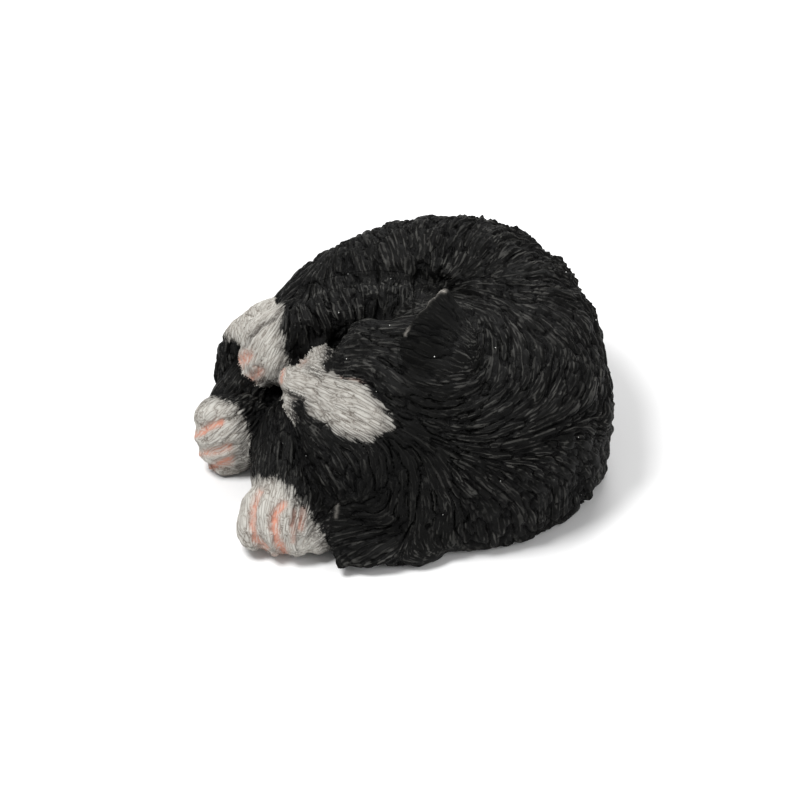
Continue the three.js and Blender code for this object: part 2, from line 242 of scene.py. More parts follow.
lump = remeshed(swollen({**{node: SWELL for node in CASTINGS}, "base_plate": PLUG}), CLAY_VOXEL)
clay, quads = outer_skin(lump)
edges, sides = sides_of(quads, len(clay))
clay = clay - normals_of(clay, quads) * SINK_BACK
told(f"one lump of {len(clay)} points, {len(lump.vertices) - len(clay)} left behind")

# %% [markdown]
# The joined skin has forgotten its castings, but hair and paint differ between them. The nearest face of
# the frame tells which casting a point belongs to. A search tree finds it at once, where trying every face
# would take minutes.

# %% Castings of the skin
corners, faces, owner = [], [], []
for number, node in enumerate(CASTINGS):
    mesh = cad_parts[node].data
    start = len(corners)
    corners += [v.co for v in mesh.vertices]
    faces += [[start + k for k in p.vertices] for p in mesh.polygons]
    owner += [number] * len(mesh.polygons)
nearest_face = BVHTree.FromPolygons(corners, faces)
belongs = np.array([owner[nearest_face.find_nearest(p)[2]] for p in clay.tolist()])
counts = np.bincount(belongs, minlength=len(CASTINGS)).tolist()
told(f"points for each casting: {dict(zip(CASTINGS, counts))}")


def on(*nodes):
    return np.isin(belongs, [CASTINGS.index(node) for node in nodes])


# %% [markdown]
# The underside is cut flat at the end, so for now it is pushed down out of the way. Then the clay is
# smoothed as a thumb would do it: every point moves towards the middle of its neighbours. The coarse locks
# of the castings only rough out the coat, so they are rubbed down. Where the head runs into the nape the
# photograph shows no edge at all, so that seam is rubbed away, and the ears keep their thin rims. A few
# small pulls bring the lower ear and the top of the muzzle to their outlines.

# %% Smoothing by thumb
DROP_BELOW = 3 * MM
FACES_DOWN = -0.4
BLUR = 0.6
RIMS_KEPT = 0.85
SEAM_BREADTH = 1.5
ALL_OVER, COAT_DOWN, SEAM_AWAY = 6, 30, 120  # rounds of smoothing
PULLS = [  # casting, where in the picture, how far across and up, how far round about, in millimetres
    ("ear_left", (-22.5, -48), (-0.6, 3.0), 8),
    ("ear_left", (-23.5, -36), (-1.8, 0.4), 8),
    ("ear_left", (-22.5, -25), (-1.2, 0), 6),
    ("head_casting", (-39, 41.5), (5.6, -4), 6.5),
    ("head_casting", (-26, 49), (2.6, -1.9), 6),
]


def relaxed(values, edges, strength, rounds):
    """Each point's value moves towards the mean of its neighbours by the strength, over and over."""
    a, b = edges[:, 0], edges[:, 1]
    flat = values.ndim == 1
    values = values[:, None] if flat else values
    many = np.bincount(a, minlength=len(values)) + np.bincount(b, minlength=len(values))
    strength = np.broadcast_to(strength, len(values))[:, None]
    for _ in range(rounds):
        total = np.stack([
            np.bincount(a, values[b, k], len(values)) + np.bincount(b, values[a, k], len(values))
            for k in range(values.shape[1])
        ], 1)
        values = values + strength * (total / many[:, None] - values)
    return values[:, 0] if flat else values


def blurred(rounds, *nodes):
    """1 on the named castings and 0 off them, with a soft change at their edges."""
    return relaxed(on(*nodes).astype(float), edges, BLUR, rounds)


under = (clay[:, 2] < GROUND) & (normals_of(clay, quads)[:, 2] < FACES_DOWN)
clay[under, 2] -= DROP_BELOW
for node, place, (across, up), reach in PULLS:
    away = (in_picture(clay)[:, :2] - place) / reach
    pull = blurred(8, node) * np.exp(-(away ** 2).sum(1))
    clay = clay + pull[:, None] * (RIGHT * across + UPWARD * up) * MM
ears = blurred(3, "ear_right", "ear_left")
broad = blurred(6, "trunk_casting", "head_casting")
seam = np.clip(4 * blurred(50, "head_casting") * blurred(50, "trunk_casting") * SEAM_BREADTH, 0, 1)
clay = relaxed(clay, edges, 0.5 * (1 - RIMS_KEPT * ears), ALL_OVER)
clay = relaxed(clay, edges, 0.5 * broad * (1 - ears), COAT_DOWN)
clay = relaxed(clay, edges, 0.6 * seam * (1 - ears), SEAM_AWAY)
normal = normals_of(clay, quads)
told("smoothed")

# %% [markdown]
# Hair grows in a direction, and on a cat the directions flow: from the spine round the flanks to the belly,
# down the limbs to the toes, from the nose over the forehead. First each casting gets a plain rule, then
# strokes that are read off the photograph bend the flow round them, as a groomer's comb would.

# %% Flow of the hair
CURL = FOOT + np.array([13, 21, 0]) * MM
SPINE_HEIGHT = 30 * MM
SPINE_BREADTH = 8 * MM
ROUND_THE_CURL = 0.8
FLOW = {  # the plain direction of the hair on each casting, in the frame's own axes
    "head_casting": (0.82, -0.55, -0.1),
    "ear_right": (0.1, 0.95, 0.3),
    "ear_left": (-0.5, -0.6, -0.5),
    "foreleg_right": (-0.6, -0.3, -0.75),
    "foreleg_left": (-0.15, -1, -0.1),
    "hind_leg": (-0.7, -0.7, -0.2),
    "tail": (-0.5, -0.3, -0.8),
}
# Strokes: across and up the picture, and the way the hair grows there
STROKES = [
    # the top of the curl
    ((13, 85), (0, -1)), ((0, 86), (0.3, -1)), ((-10, 85), (0.55, -0.8)), ((-22, 80), (0.1, -1)),
    ((-32, 76), (-0.6, -0.6)), ((-44, 67), (-0.85, -0.5)), ((28, 85), (-0.35, -1)),
    ((40, 81), (-0.62, -0.72)), ((52, 76), (-0.8, -0.5)), ((56, 65), (-1, 0.05)), ((66, 61), (-0.95, 0.2)),
    # the flank, from the spine up and back to the eye of the curl
    ((28, 57), (-0.9, 0.3)), ((42, 51), (-0.62, 0.75)), ((58, 53), (-0.85, 0.5)), ((48, 33), (-0.4, 0.9)),
    ((64, 49), (-0.75, 0.65)), ((71, 46), (-0.5, 0.85)), ((76, 32), (-0.05, 1)), ((70, 23), (0.6, 0.8)),
    ((58, 33), (0.25, 0.95)), ((56, 21), (0.62, 0.72)), ((48, 9), (0.9, 0.35)), ((40, 13), (0.85, 0.4)),
    ((48, 21), (0.7, 0.7)), ((32, 21), (0.8, 0.6)), ((36, 33), (0.3, 0.95)), ((32, 45), (-0.2, 1)),
    ((22, 8), (0.97, -0.2)), ((30, 2), (1, -0.1)), ((47, 3.5), (1, 0.1)), ((62, 9), (0.95, 0.25)),
    # below the spine
    ((16, -7), (0.35, -0.95)), ((32, -11), (0.5, -0.87)), ((48, -11), (0.55, -0.83)),
    ((64, -3), (0.6, -0.8)), ((76, 5), (0.5, -0.85)), ((40, -31), (0, -1)), ((16, -27), (-0.35, -0.92)),
    ((4, -19), (-0.1, -1)), ((64, -19), (-0.15, -1)), ((78, -8), (0.3, -0.95)),
    # forehead, cheeks and muzzle
    ((0, -3), (-0.1, -1)), ((-8, -11), (-0.42, -0.9)), ((-28, -3), (0.5, -0.85)),
    ((-22, -11), (0.35, -0.93)), ((-32, 9), (0.7, -0.7)), ((-32, 23), (0.88, -0.4)),
    ((-20, 19), (0.9, -0.35)), ((-10, 17), (0.85, -0.5)), ((-40, 29), (0.7, -0.2)), ((-12, 41), (1, -0.05)),
    ((-22, 41), (0.95, 0.25)), ((-4, 49), (0.95, 0.15)), ((-2, 33), (0.6, -0.8)), ((4, 23), (0.75, -0.65)),
    ((16, 21), (1, 0)), ((24, 23), (0.85, 0.5)), ((-4, 21), (0.8, -0.6)), ((8, 11), (0.95, -0.3)),
    ((0, 5), (0.9, -0.45)), ((-29, 39), (0.5, -0.85)),
    # forelegs, hind leg, tail and the lower ear
    ((-20, 65), (0.5, -0.87)), ((-36, 57), (0.5, -0.87)), ((0, 65), (0.2, -1)), ((-28, 61), (0.5, -0.87)),
    ((-54, 41), (-0.45, -0.88)), ((-60, 53), (0.45, -0.88)), ((-70, 39), (0.2, -1)),
    ((-68, 27), (-0.6, -0.8)), ((-72, 5), (-0.8, -0.6)), ((-48, 5), (-0.1, -1)), ((-46, -25), (-0.15, -1)),
    ((-20, -23), (-0.9, 0.3)), ((-20, -33), (-0.97, -0.15)), ((-15, -41), (-0.8, -0.6)),
    ((-8, -29), (-0.95, -0.1)),
    # the upper ear
    ((8, 52), (0.9, -0.45)), ((6, 42), (0.9, -0.4)), ((14, 48), (0.85, -0.5)), ((10, 34), (0.95, -0.3)),
    ((18, 59), (0.55, -0.83)), ((26, 53), (0.55, -0.83)), ((22, 43), (0.7, -0.7)), ((19, 34), (0.95, -0.3)),
]
STROKE_REACH = 9 * MM
STROKE_WEIGHT = 6
GLANCING = 0.35


def tangent(way):
    way = way - (way * normal).sum(1)[:, None] * normal
    return way / np.maximum(np.linalg.norm(way, axis=1), 1e-9)[:, None]


def plain_flow():
    way = np.zeros_like(clay)
    for node, direction in FLOW.items():
        way[on(node)] = direction
    out = (clay - CURL) * (1, 1, 0)
    out /= np.linalg.norm(out, axis=1)[:, None]
    round_the_curl = np.stack([-out[:, 1], out[:, 0], np.zeros(len(clay))], 1)
    inwards = -out + np.array([0, 0, 1.0]) * (normal * out).sum(1)[:, None]
    side = np.clip((clay[:, 2] - SPINE_HEIGHT) / SPINE_BREADTH, -1, 1)[:, None]
    trunk = on("trunk_casting")
    way[trunk] = (ROUND_THE_CURL * round_the_curl + inwards * side)[trunk]
    return tangent(way)


clay_tree = BVHTree.FromPolygons(clay.tolist(), quads.tolist())


def seen_at(across, up):
    """The point of the skin that the camera sees at that place of its picture."""
    eye = AIM + TOWARD * FAR
    target = FOOT + (RIGHT * across + UPWARD * up) * MM
    hit = clay_tree.ray_cast(Vector(eye), Vector(target - eye).normalized())
    return None if hit[0] is None else (np.array(hit[0]), np.array(hit[1]))


def combed(way):
    total, weight = way.copy(), np.ones(len(clay))
    for (across, up), (right, upward) in STROKES:
        hit = seen_at(across, up)
        if hit is None:
            print("no skin at", across, up)
            continue
        place, face = hit
        stroke = RIGHT * right + UPWARD * upward
        stroke -= TOWARD * (stroke @ face) / max(TOWARD @ face, GLANCING)
        stroke -= face * (stroke @ face)
        stroke /= np.linalg.norm(stroke)
        pull = STROKE_WEIGHT * np.exp(-((clay - place) ** 2).sum(1) / STROKE_REACH ** 2)
        total += pull[:, None] * stroke
        weight += pull
    return tangent(total / weight[:, None])


flow = combed(plain_flow())
for _ in range(4):
    flow = tangent(relaxed(flow, edges, strength=0.7, rounds=4))
told(f"flow combed with {len(STROKES)} strokes")

# %% [markdown]
# Halving the squares once gives a skin fine enough for the carved locks. Where the form is a crest or a rim,
# it stands above the same form smoothed, and that height is kept for the paint brush, which touches crests
# first, and for the painted highlights that go with it.

# %% Fine skin
owner_of_new = np.concatenate([belongs, belongs[edges[:, 0]], belongs[quads[:, 0]]])
quads, (skin, flow) = halved(quads, edges, sides, [clay, flow])
belongs = owner_of_new
edges, _ = sides_of(quads, len(skin))
skin = relaxed(skin, edges, strength=0.5, rounds=3)
normal = normals_of(skin, quads)
flow = tangent(flow)
picture = in_picture(skin)
smooth = relaxed(skin, edges, strength=0.7, rounds=25)
crest = relaxed(((skin - smooth) * normal).sum(1) / MM, edges, strength=0.6, rounds=4)
told(f"skin of {len(skin)} points, crests up to {np.percentile(crest, 99):.2f} mm")

# %% [markdown]
# Before the hair come the forms that are too fine for the castings: grooves between the toes, the mouth,
# the closed eye, the rim of the ear, the creases of the curl. A knife cuts a line, given in the picture,
# into the named castings on the side that the camera sees, with a soft shoulder.

# %% Knife
CUTS = [  # castings, line, width, depth
    ("foreleg_left", [(-56.4, -14.8), (-58.8, -21.6), (-59.6, -28.8), (-58, -35.6), (-53.6, -40.8)],
     1.7, 1.3),
    ("foreleg_left", [(-47.6, -20.4), (-50, -24), (-51.2, -29.6), (-49.6, -35.6), (-46.4, -41.6)], 1.6, 1.6),
    ("foreleg_left", [(-41.6, -22.4), (-42.8, -29.2), (-42.4, -35.6), (-40.8, -40.8)], 1.5, 1.5),
    ("foreleg_left", [(-38.4, -24), (-39.2, -30.4), (-38.8, -37.2)], 1.3, 0.7),
    ("hind_leg", [(-84, 6.4), (-77.6, 9.6), (-71.2, 12.4), (-67.2, 13.2)], 1.8, 1.6),
    ("hind_leg", [(-82.8, -0.4), (-77.6, -0.4), (-72, 0.6), (-66.8, 2.4)], 1.8, 1.5),
    ("hind_leg", [(-77.6, -7.2), (-73.2, -5.2), (-68.8, -3.8), (-64.8, -2.8)], 1.8, 1.4),
    ("foreleg_right", [(-65.6, 36), (-62.4, 36.8), (-59.2, 39.2)], 1.6, 0.8),
    ("foreleg_right", [(-59.6, 26.4), (-58, 30), (-56, 33.2)], 1.7, 1.0),
    ("head_casting", [(-48, 24), (-45.6, 23.2), (-42.4, 21.8), (-39.2, 20.8)], 0.8, 1.7),
    ("head_casting", [(-40.2, 19.8), (-40, 16), (-40.8, 12)], 1.5, 1.2),
    ("head_casting", [(-41.6, 34), (-39.2, 32), (-36.8, 29.2), (-32.8, 28.8)], 1.6, 0.6),
    ("head_casting", [(-25.6, 31.2), (-22, 29.2), (-18.4, 28.6), (-14.4, 28.4)], 0.9, 0.8),
    ("head_casting", [(-23.6, 44.8), (-26.4, 40.8), (-29.6, 38.4), (-32.8, 36.8)], 1.8, 1.2),
    ("ear_right", [(3.4, 52), (3.4, 46), (2.4, 40), (4.4, 34), (9, 31)], 2.2, 0.8),
    ("trunk_casting foreleg_right", [(8, 68.6), (-9.6, 69.4), (-20.8, 68.6), (-32, 65.4), (-43.2, 60)],
     2.4, 1.6),
    ("trunk_casting foreleg_right head_casting", [(8, 68), (12.8, 68.2), (17, 67)], 3.4, 2.4),
    ("trunk_casting", [(17, 66.4), (24, 64), (35.6, 64.8), (52.4, 57.6)], 2.6, 1.4),
    ("foreleg_right tail", [(-62.4, 42.4), (-60, 46.4), (-55.2, 51.2), (-50, 54), (-47.6, 56.4)], 1.3, 1.3),
]


def to_line(line, where):
    """Millimetres in the picture from points of the skin to a line."""
    spots = picture[where, :2]
    best = np.full(len(spots), np.inf)
    for a, b in zip(np.array(line[:-1], float), np.array(line[1:], float)):
        along = np.clip(((spots - a) @ (b - a)) / ((b - a) @ (b - a)), 0, 1)
        best = np.minimum(best, np.linalg.norm(spots - a - along[:, None] * (b - a), axis=1))
    return best


def stroked(lines):
    """The strongest of the soft lines at each point of the skin."""
    strongest = np.zeros(len(skin))
    for nodes, line, width, strength in lines:
        where = np.flatnonzero(on(*nodes.split()))
        soft = strength * np.exp(-(to_line(line, where) / width) ** 2)
        strongest[where] = np.maximum(strongest[where], soft)
    return strongest


# full where the skin faces the camera, and none where it turns away
facing = np.clip((normal @ TOWARD + 0.1) / 0.4, 0, 1)
skin = skin - normal * (stroked(CUTS) * facing)[:, None] * MM
normal = normals_of(skin, quads)
told(f"{len(CUTS)} cuts")

# %% [markdown]
# Carved locks are long thin ridges that follow the flow. They are made as wind makes streaks in sand:
# random grain is smeared along the flow, so that grain which lies on one line of hair becomes one ridge.
# Smearing only forwards, with a tail that fades, makes each lock rise slowly and end in a sharp tip over
# the next one. A lattice of small cells finds the skin again after every step along the flow.

# %% Locks of hair
STEP = 0.5 * MM
CELL = 0.55 * MM
MARGIN = 4  # empty cells round the skin
FADED_AFTER = 3  # lengths of the smear


class Lattice:
    """Small cells, each with the number of a point in it or near it."""
    def __init__(self, points, cell):
        self.low, self.cell = points.min(0) - MARGIN * cell, cell
        shape = np.ceil((points.max(0) - self.low) / cell).astype(int) + MARGIN + 1
        self.number = np.full(shape, -1, np.int32)
        spots = ((points - self.low) / cell).astype(int)
        self.number[tuple(spots.T)] = np.arange(len(points))
        for _ in range(2):
            for axis in range(3):
                for turn in (1, -1):
                    beside = np.roll(self.number, turn, axis)
                    self.number = np.where(self.number < 0, beside, self.number)

    def nearest(self, points, otherwise):
        found = self.number[tuple(((points - self.low) / self.cell).astype(int).T)]
        return np.where(found < 0, otherwise, found)


SEED_SHIFT = 17.31
SCRAMBLE = (73856093, 19349663, 83492791)
SCRAMBLE_SEED, SCRAMBLE_AGAIN = 2654435761, 1274126177
BITS_32, BITS_24 = 0xFFFFFFFF, 0xFFFFFF


def grain(points, size, seed):
    """Smooth random values from 0 to 1, in lumps of the given size."""
    place = points / size + seed * SEED_SHIFT
    corner = np.floor(place).astype(np.int64)
    f = place - corner
    f = f * f * (3 - 2 * f)
    total = 0
    for k in range(8):
        step = np.array([k & 1, k >> 1 & 1, k >> 2])
        c = corner + step
        x, y, z = (c * SCRAMBLE).T
        code = x ^ y ^ z ^ (seed * SCRAMBLE_SEED)
        code = (code ^ (code >> 13)) * SCRAMBLE_AGAIN & BITS_32
        code = (code ^ (code >> 16)) & BITS_24
        share = np.where(step, f, 1 - f).prod(1)
        total = total + share * (code / BITS_24)
    return total


def smeared(lattice, grains, lengths):
    """Each grain smeared along the flow over its length, as values with mean 0 and spread 1."""
    at = np.arange(len(skin))
    place = skin.copy()
    sums = [np.zeros(len(skin)) for _ in grains]
    for k in range(int(FADED_AFTER * max(lengths) / STEP)):
        for total, one, length in zip(sums, grains, lengths):
            if k * STEP < FADED_AFTER * length:
                total += one[at] * math.exp(-k * STEP / length)
        place = place + flow[at] * STEP
        at = lattice.nearest(place, at)
        place -= normal[at] * ((place - skin[at]) * normal[at]).sum(1)[:, None]
    return [(total - total.mean()) / total.std() for total in sums]


lattice = Lattice(skin, CELL)
LOCKS = [  # size of the grain, length of the smear
    (5.0 * MM, 10 * MM),
    (3.0 * MM, 9 * MM),
    (1.9 * MM, 7 * MM),
]
grains = [grain(skin, size, seed + 1) for seed, (size, _) in enumerate(LOCKS)]
clump, lock, strand = smeared(lattice, grains, [length for _, length in LOCKS])
told("hair smeared along the flow")

# %% [markdown]
# The painter first sprayed everything black, then the paws, the tail and the blaze off-white, and put pink
# between the toes, on the nose and along the eyelid. Each patch is an outline in the picture on one
# casting. Its edge is soft, and the locks carry it forwards and backwards, so that the ends of locks reach
# across it. A painted image would do as well, but outlines can be read and moved.

# %% Patches of paint
WHITES = [  # casting, outline, softness of its edge and length of its fringe in millimetres
    ("head_casting", [
        (-52, 40.8), (-38, 46), (-32, 47.5), (-27, 46.5), (-27.2, 43.4), (-29, 40.6), (-30.8, 36.2),
        (-30, 33), (-25.6, 31), (-18.8, 29.6), (-14, 27.6), (-10.8, 22), (-6.8, 18), (-2.8, 13.2),
        (-2.4, 9.6), (-8.8, 6), (-14.8, 5.2), (-20.8, 5.6), (-25.2, 8), (-31, 11.8), (-37, 14.6),
        (-37.6, 19.2), (-41.6, 20.6), (-42.7, 16.8), (-42.4, 12), (-43.4, 8), (-46, 5.5), (-52, 5.5)
    ], 1.5, 1.0),
    ("foreleg_right", [
        (-78, 72), (-47, 72), (-47, 57.6), (-47.2, 53.6), (-48, 49.2), (-46.4, 45.6), (-46.8, 42),
        (-44.8, 37.6), (-44.4, 31.6), (-47.6, 26.4), (-53.6, 21.4), (-64, 20.8), (-78, 36.8)
    ], 1.8, 0.4),
    ("tail", [
        (-80, 46.4), (-71.2, 46.4), (-68.8, 44.6), (-65.2, 42), (-60, 39.6), (-44, 39), (-44, 66),
        (-80, 66)
    ], 1.6, 1.6),
    ("hind_leg", [
        (-92, 21.6), (-77.2, 22.4), (-71.2, 21.6), (-65.2, 18.8), (-61.2, 12.8), (-59.2, 4.8), (-60, -7.2),
        (-64, -18), (-92, -18)
    ], 2.4, 0.35),
    ("foreleg_left", [
        (-72, -12), (-55.2, -9.6), (-50, -9.4), (-45.6, -12.6), (-41.6, -16.4), (-38.8, -21.4),
        (-35.2, -26.2), (-30.8, -33.2), (-25.6, -40), (-25.6, -50), (-72, -50)
    ], 2.4, 0.35),
]
PINKS = [  # casting, line, width, strength
    ("foreleg_left", [(-56.4, -15.5), (-58.8, -21.6), (-59.4, -28.8), (-57.8, -35.6), (-54, -39)], 1.2, 0.7),
    ("foreleg_left", [(-47, -20.8), (-50, -24), (-50.8, -29.6), (-49.2, -35.6), (-46.4, -40)], 1.5, 1.0),
    ("foreleg_left", [(-42.4, -23), (-42.8, -29.2), (-42.6, -36)], 1.1, 0.5),
    ("foreleg_left", [(-38.6, -23), (-39.6, -30)], 1.4, 0.7),
    ("foreleg_left", [(-58, -41.5), (-46, -42.5)], 1.0, 0.35),
    ("hind_leg", [(-83.4, 6), (-77.6, 9.4), (-71.6, 12.2)], 1.3, 0.85),
    ("hind_leg", [(-81.4, -1.4), (-77, -0.4), (-72, 0.6), (-68.2, 2)], 1.3, 0.75),
    ("hind_leg", [(-76.6, -7), (-73.2, -5.2), (-67.4, -3.2)], 1.5, 0.95),
    ("foreleg_right", [(-64.2, 36), (-61.6, 38.2)], 2.2, 0.75),
    ("foreleg_right", [(-59.8, 29), (-57, 31.6)], 2.2, 0.55),
    ("head_casting", [(-46.8, 33), (-47.6, 28)], 0.8, 0.7),
    ("head_casting", [(-39.8, 35.4), (-38.2, 36.4)], 1.4, 0.25),
    ("head_casting", [(-24, 30.4), (-18.4, 29.2), (-14.4, 28.2)], 0.6, 0.5),
]
SHADES = [  # castings, line, width, strength: black sprayed thinly over the white as painted shade in creases, recesses and under the paws, and to dim the blaze
    ("foreleg_right", [(-62, 24.5), (-56, 24.5), (-50, 28), (-46, 34)], 3.4, 0.85),
    ("foreleg_right", [(-58.5, 28), (-55.5, 30)], 2.0, 0.3),
    ("tail", [(-73, 46), (-66, 42.6), (-61, 40)], 2.2, 0.6),
    ("tail foreleg_right", [(-62.4, 42.4), (-60, 46.4), (-55.2, 51.2), (-50, 54), (-47.6, 56.4)], 1.3, 0.55),
    ("foreleg_left", [(-42.6, -20), (-42.4, -28), (-41.4, -36)], 1.5, 0.5),
    ("foreleg_left", [(-46, -12), (-40, -20), (-37.4, -27), (-32, -34), (-28, -40)], 3.0, 0.6),
    ("foreleg_left", [(-51, -22), (-52.2, -29), (-50.6, -36)], 0.8, 0.35),
    ("hind_leg", [(-66, 18), (-62.6, 10), (-62.4, 2), (-64, -6)], 3.0, 0.6),
    ("head_casting", [(-40.6, 19.4), (-40.6, 14), (-41.6, 9)], 1.5, 0.85),
    ("head_casting", [(-32, 23), (-14, 13)], 11.0, 0.18),
    ("head_casting", [(-45.6, 23.2), (-43, 22.2), (-39.2, 20.8)], 0.8, 0.9),
    ("head_casting", [(-4, 17), (-4, 9), (-10, 6)], 4.5, 0.65),
    ("head_casting", [(-30, 37.5), (-31, 33.5)], 1.6, 0.5),
]
STIPPLED_SHADES = [  # casting, line, width, strength: painted shade, stippled as dark specks over the white
    ("head_casting", [(-36.4, 33.6), (-32.4, 31.4)], 2.2, 0.75),
    ("head_casting", [(-27.6, 43), (-31, 36.4)], 1.6, 0.9),
    ("head_casting", [(-45, 24.4), (-42, 23.4), (-39, 22)], 1.3, 1.0),
    ("head_casting", [(-42.8, 20), (-43.4, 14), (-44, 9.5)], 1.8, 1.0),
    ("foreleg_left", [(-44.6, -14), (-41.4, -20), (-40.4, -27), (-36, -34)], 2.0, 0.35),
    ("foreleg_right", [(-58.6, 27.6), (-55, 28.6)], 1.6, 0.3),
]
RIM_HIGHLIGHTS = [  # casting, line, width, strength: painted highlights along the rims
    ("ear_right", [(17.6, 64.2), (16, 64.8), (11, 60), (7.5, 56.8)], 0.8, 1.0),
    ("ear_right", [(7.5, 56.8), (5.4, 54.4)], 0.65, 0.7),
    ("ear_right", [(5.4, 54.4), (3.4, 51.4), (1.6, 47.2)], 0.5, 0.4),
    ("ear_left", [(-22.8, -17.2), (-25.2, -21.6), (-25.6, -26)], 0.7, 0.3),
]
UNBRUSHED_AND_SHADED = [  # castings, line, width, strength: less grey brushed on; in the cupped ear this is painted shade
    ("ear_right", [(12, 58), (7, 50), (6, 42)], 10.0, 0.7),
    ("head_casting", [(8, 22), (0, -6), (-14, -22)], 14.0, 0.12),
]
SPRAY_REACH = 5.5  # how far the black mist comes in over a white patch, in millimetres
SPRAY_STRENGTH, SPRAY_FADE = 0.75, 1.5


def inside(outline, where):
    """Millimetres that points of the skin lie inside an outline in the picture, negative outside it."""
    x, y = picture[where, 0], picture[where, 1]
    within = np.zeros(len(where), bool)
    for (xa, ya), (xb, yb) in zip(outline, outline[1:] + outline[:1]):
        if ya != yb:
            within ^= ((ya > y) != (yb > y)) & (x < (xb - xa) * (y - ya) / (yb - ya) + xa)
    return np.where(within, 1, -1) * to_line(outline + outline[:1], where)


hairs = 0.5 * lock + 0.5 * strand
# painted shade from SHADES, joined by the airbrushed black at the edge of each white patch
white, spray_and_shade = np.zeros(len(skin)), stroked(SHADES)
for node, outline, soft, fringe in WHITES:
    where = np.flatnonzero(on(node))
    depth = inside(outline, where)
    white[where] = np.clip(0.5 + (depth + fringe * hairs[where]) / (2 * soft), 0, 1)
    mist = SPRAY_STRENGTH * np.clip(1 - depth / SPRAY_REACH, 0, 1) ** SPRAY_FADE
    spray_and_shade[where] = np.maximum(spray_and_shade[where], mist)
told(f"white on {100 * (white > 0.5).mean():.0f} % of the skin")

# %% [markdown]
# A carver's gouge leaves round ridges with sharp valleys between them. The smeared grain is turned into
# that: its middle level becomes the valley, and on both sides the ridge rises steeply and rounds off. The
# white fur of the paws is carved finest, and the muzzle is left almost smooth. Along the edge of the curl
# the tufts are cut rougher, and at the upper right small tips stand out of the outline, as in the
# photograph. All this is real geometry, because a bump alone would leave the outline smooth. What the
# carving and the patches give each point is kept as its paint.

# %% Carving
def ridged(value, sharp):
    height = np.abs(value) / (np.abs(value) + sharp)
    return (height - height.mean()) / height.std()


HAIR_DEPTH = 0.32 * MM
CLUMP_DEPTH = 0.42 * MM
WHITE_FUR = 0.55  # how much of the depth the white fur lacks
COAT = {"ear_right": 0.6, "ear_left": 0.6, "tail": 1.5}
# castings, line, width, strength
MUZZLE = [("head_casting", [(-45, 27), (-40, 35), (-31, 42)], 7.5, 0.75)]
TUFTS = [("trunk_casting", [(0, 94), (24, 92), (52, 82), (74, 58), (84, 30), (86, 0), (78, -22)],
          8.0, 0.6)]
TIPS = [("trunk_casting", [(28, 93), (34, 92.5), (46.6, 89.6), (56.8, 81.6), (70.2, 67.6), (77, 58)],
         4.5, 1.0)]
TIP_SIZE, TIP_HEIGHT, TIP_SEED = 1.7 * MM, 3.0 * MM, 7

fine = ridged(strand, sharp=0.4)
medium = ridged(lock, sharp=0.35)
coarse = 0.9 * clump + 0.4 * ridged(clump, sharp=0.5)
relief = 0.4 * fine + 0.75 * medium + 0.35 * coarse
coat = 1 - WHITE_FUR * white
for node, amount in COAT.items():
    coat[on(node)] *= amount
coat = relaxed(coat * (1 - stroked(MUZZLE)) * (1 + stroked(TUFTS)), edges, BLUR, rounds=12)
height = (0.6 * fine + 1.3 * medium) * HAIR_DEPTH + coarse * CLUMP_DEPTH
tips = np.clip(grain(skin, TIP_SIZE, TIP_SEED) - 0.5, 0, 1) * stroked(TIPS) * TIP_HEIGHT
carved = skin + normal * (height * coat + tips)[:, None]
paint = {
    "flow": 0.5 + 0.5 * flow,
    "ridge": 0.5 + 0.22 * relief * np.sqrt(coat),
    # crest is lowered where the ear is cupped, as painted shade, and a little over the face
    "crest": 0.5 + 0.5 * crest - stroked(UNBRUSHED_AND_SHADED),
    "white": white,
    "spray_and_shade": spray_and_shade,
    "pink": stroked(PINKS),
    "grey": stroked(STIPPLED_SHADES),
    "light": stroked(RIM_HIGHLIGHTS),
}
told(f"carved, up to {np.percentile(height, 99.9) / MM:.1f} mm")

# %% [markdown]
# Now the sculpture is cut into its castings, as the mould maker did. Each casting of the frame, grown a
# little, is a cutter that takes its piece out of the solid, walls and all, so that every piece is closed
# and its neighbour's pocket fits it exactly. Cutting faces apart would be quicker, but it would leave
# hollow shells.

# %% Cutting the castings apart
GROW = 2.4 * MM
CUTTER_VOXEL = 1.2 * MM
PLATE_GAP = 0.3 * MM
BELOW_THE_FOOT = [(-0.2, -0.2, -0.05), (0.2, 0.2, GROUND)]  # corners of a block, in metres
ORDER = ["ear_right", "ear_left", "foreleg_right", "foreleg_left", "hind_leg", "tail", "head_casting"]


def with_paint(mesh, values):
    for name, value in values.items():
        kind, key = ("FLOAT_VECTOR", "vector") if value.ndim > 1 else ("FLOAT", "value")
        layer = mesh.attributes.new(name, kind, "POINT")
        layer.data.foreach_set(key, np.clip(value, 0, 1).astype(np.float32).ravel())
    return mesh


def cut_by(mesh, operation, tool):
    piece, knife = piece_of("piece", mesh), piece_of("knife", tool)
    cutting = piece.modifiers.new("cutting", "BOOLEAN")
    cutting.operation, cutting.solver, cutting.object = operation, "MANIFOLD", knife
    result = baked(piece)
    bpy.data.objects.remove(knife)
    return result


def block(low, high):
    form = bmesh.new()
    bmesh.ops.create_cube(form, size=1)
    for vertex in form.verts:
        vertex.co = [l + (c + 0.5) * (h - l) for l, h, c in zip(low, high, vertex.co)]
    mesh = bpy.data.meshes.new("block")
    form.to_mesh(mesh)
    form.free()
    return mesh


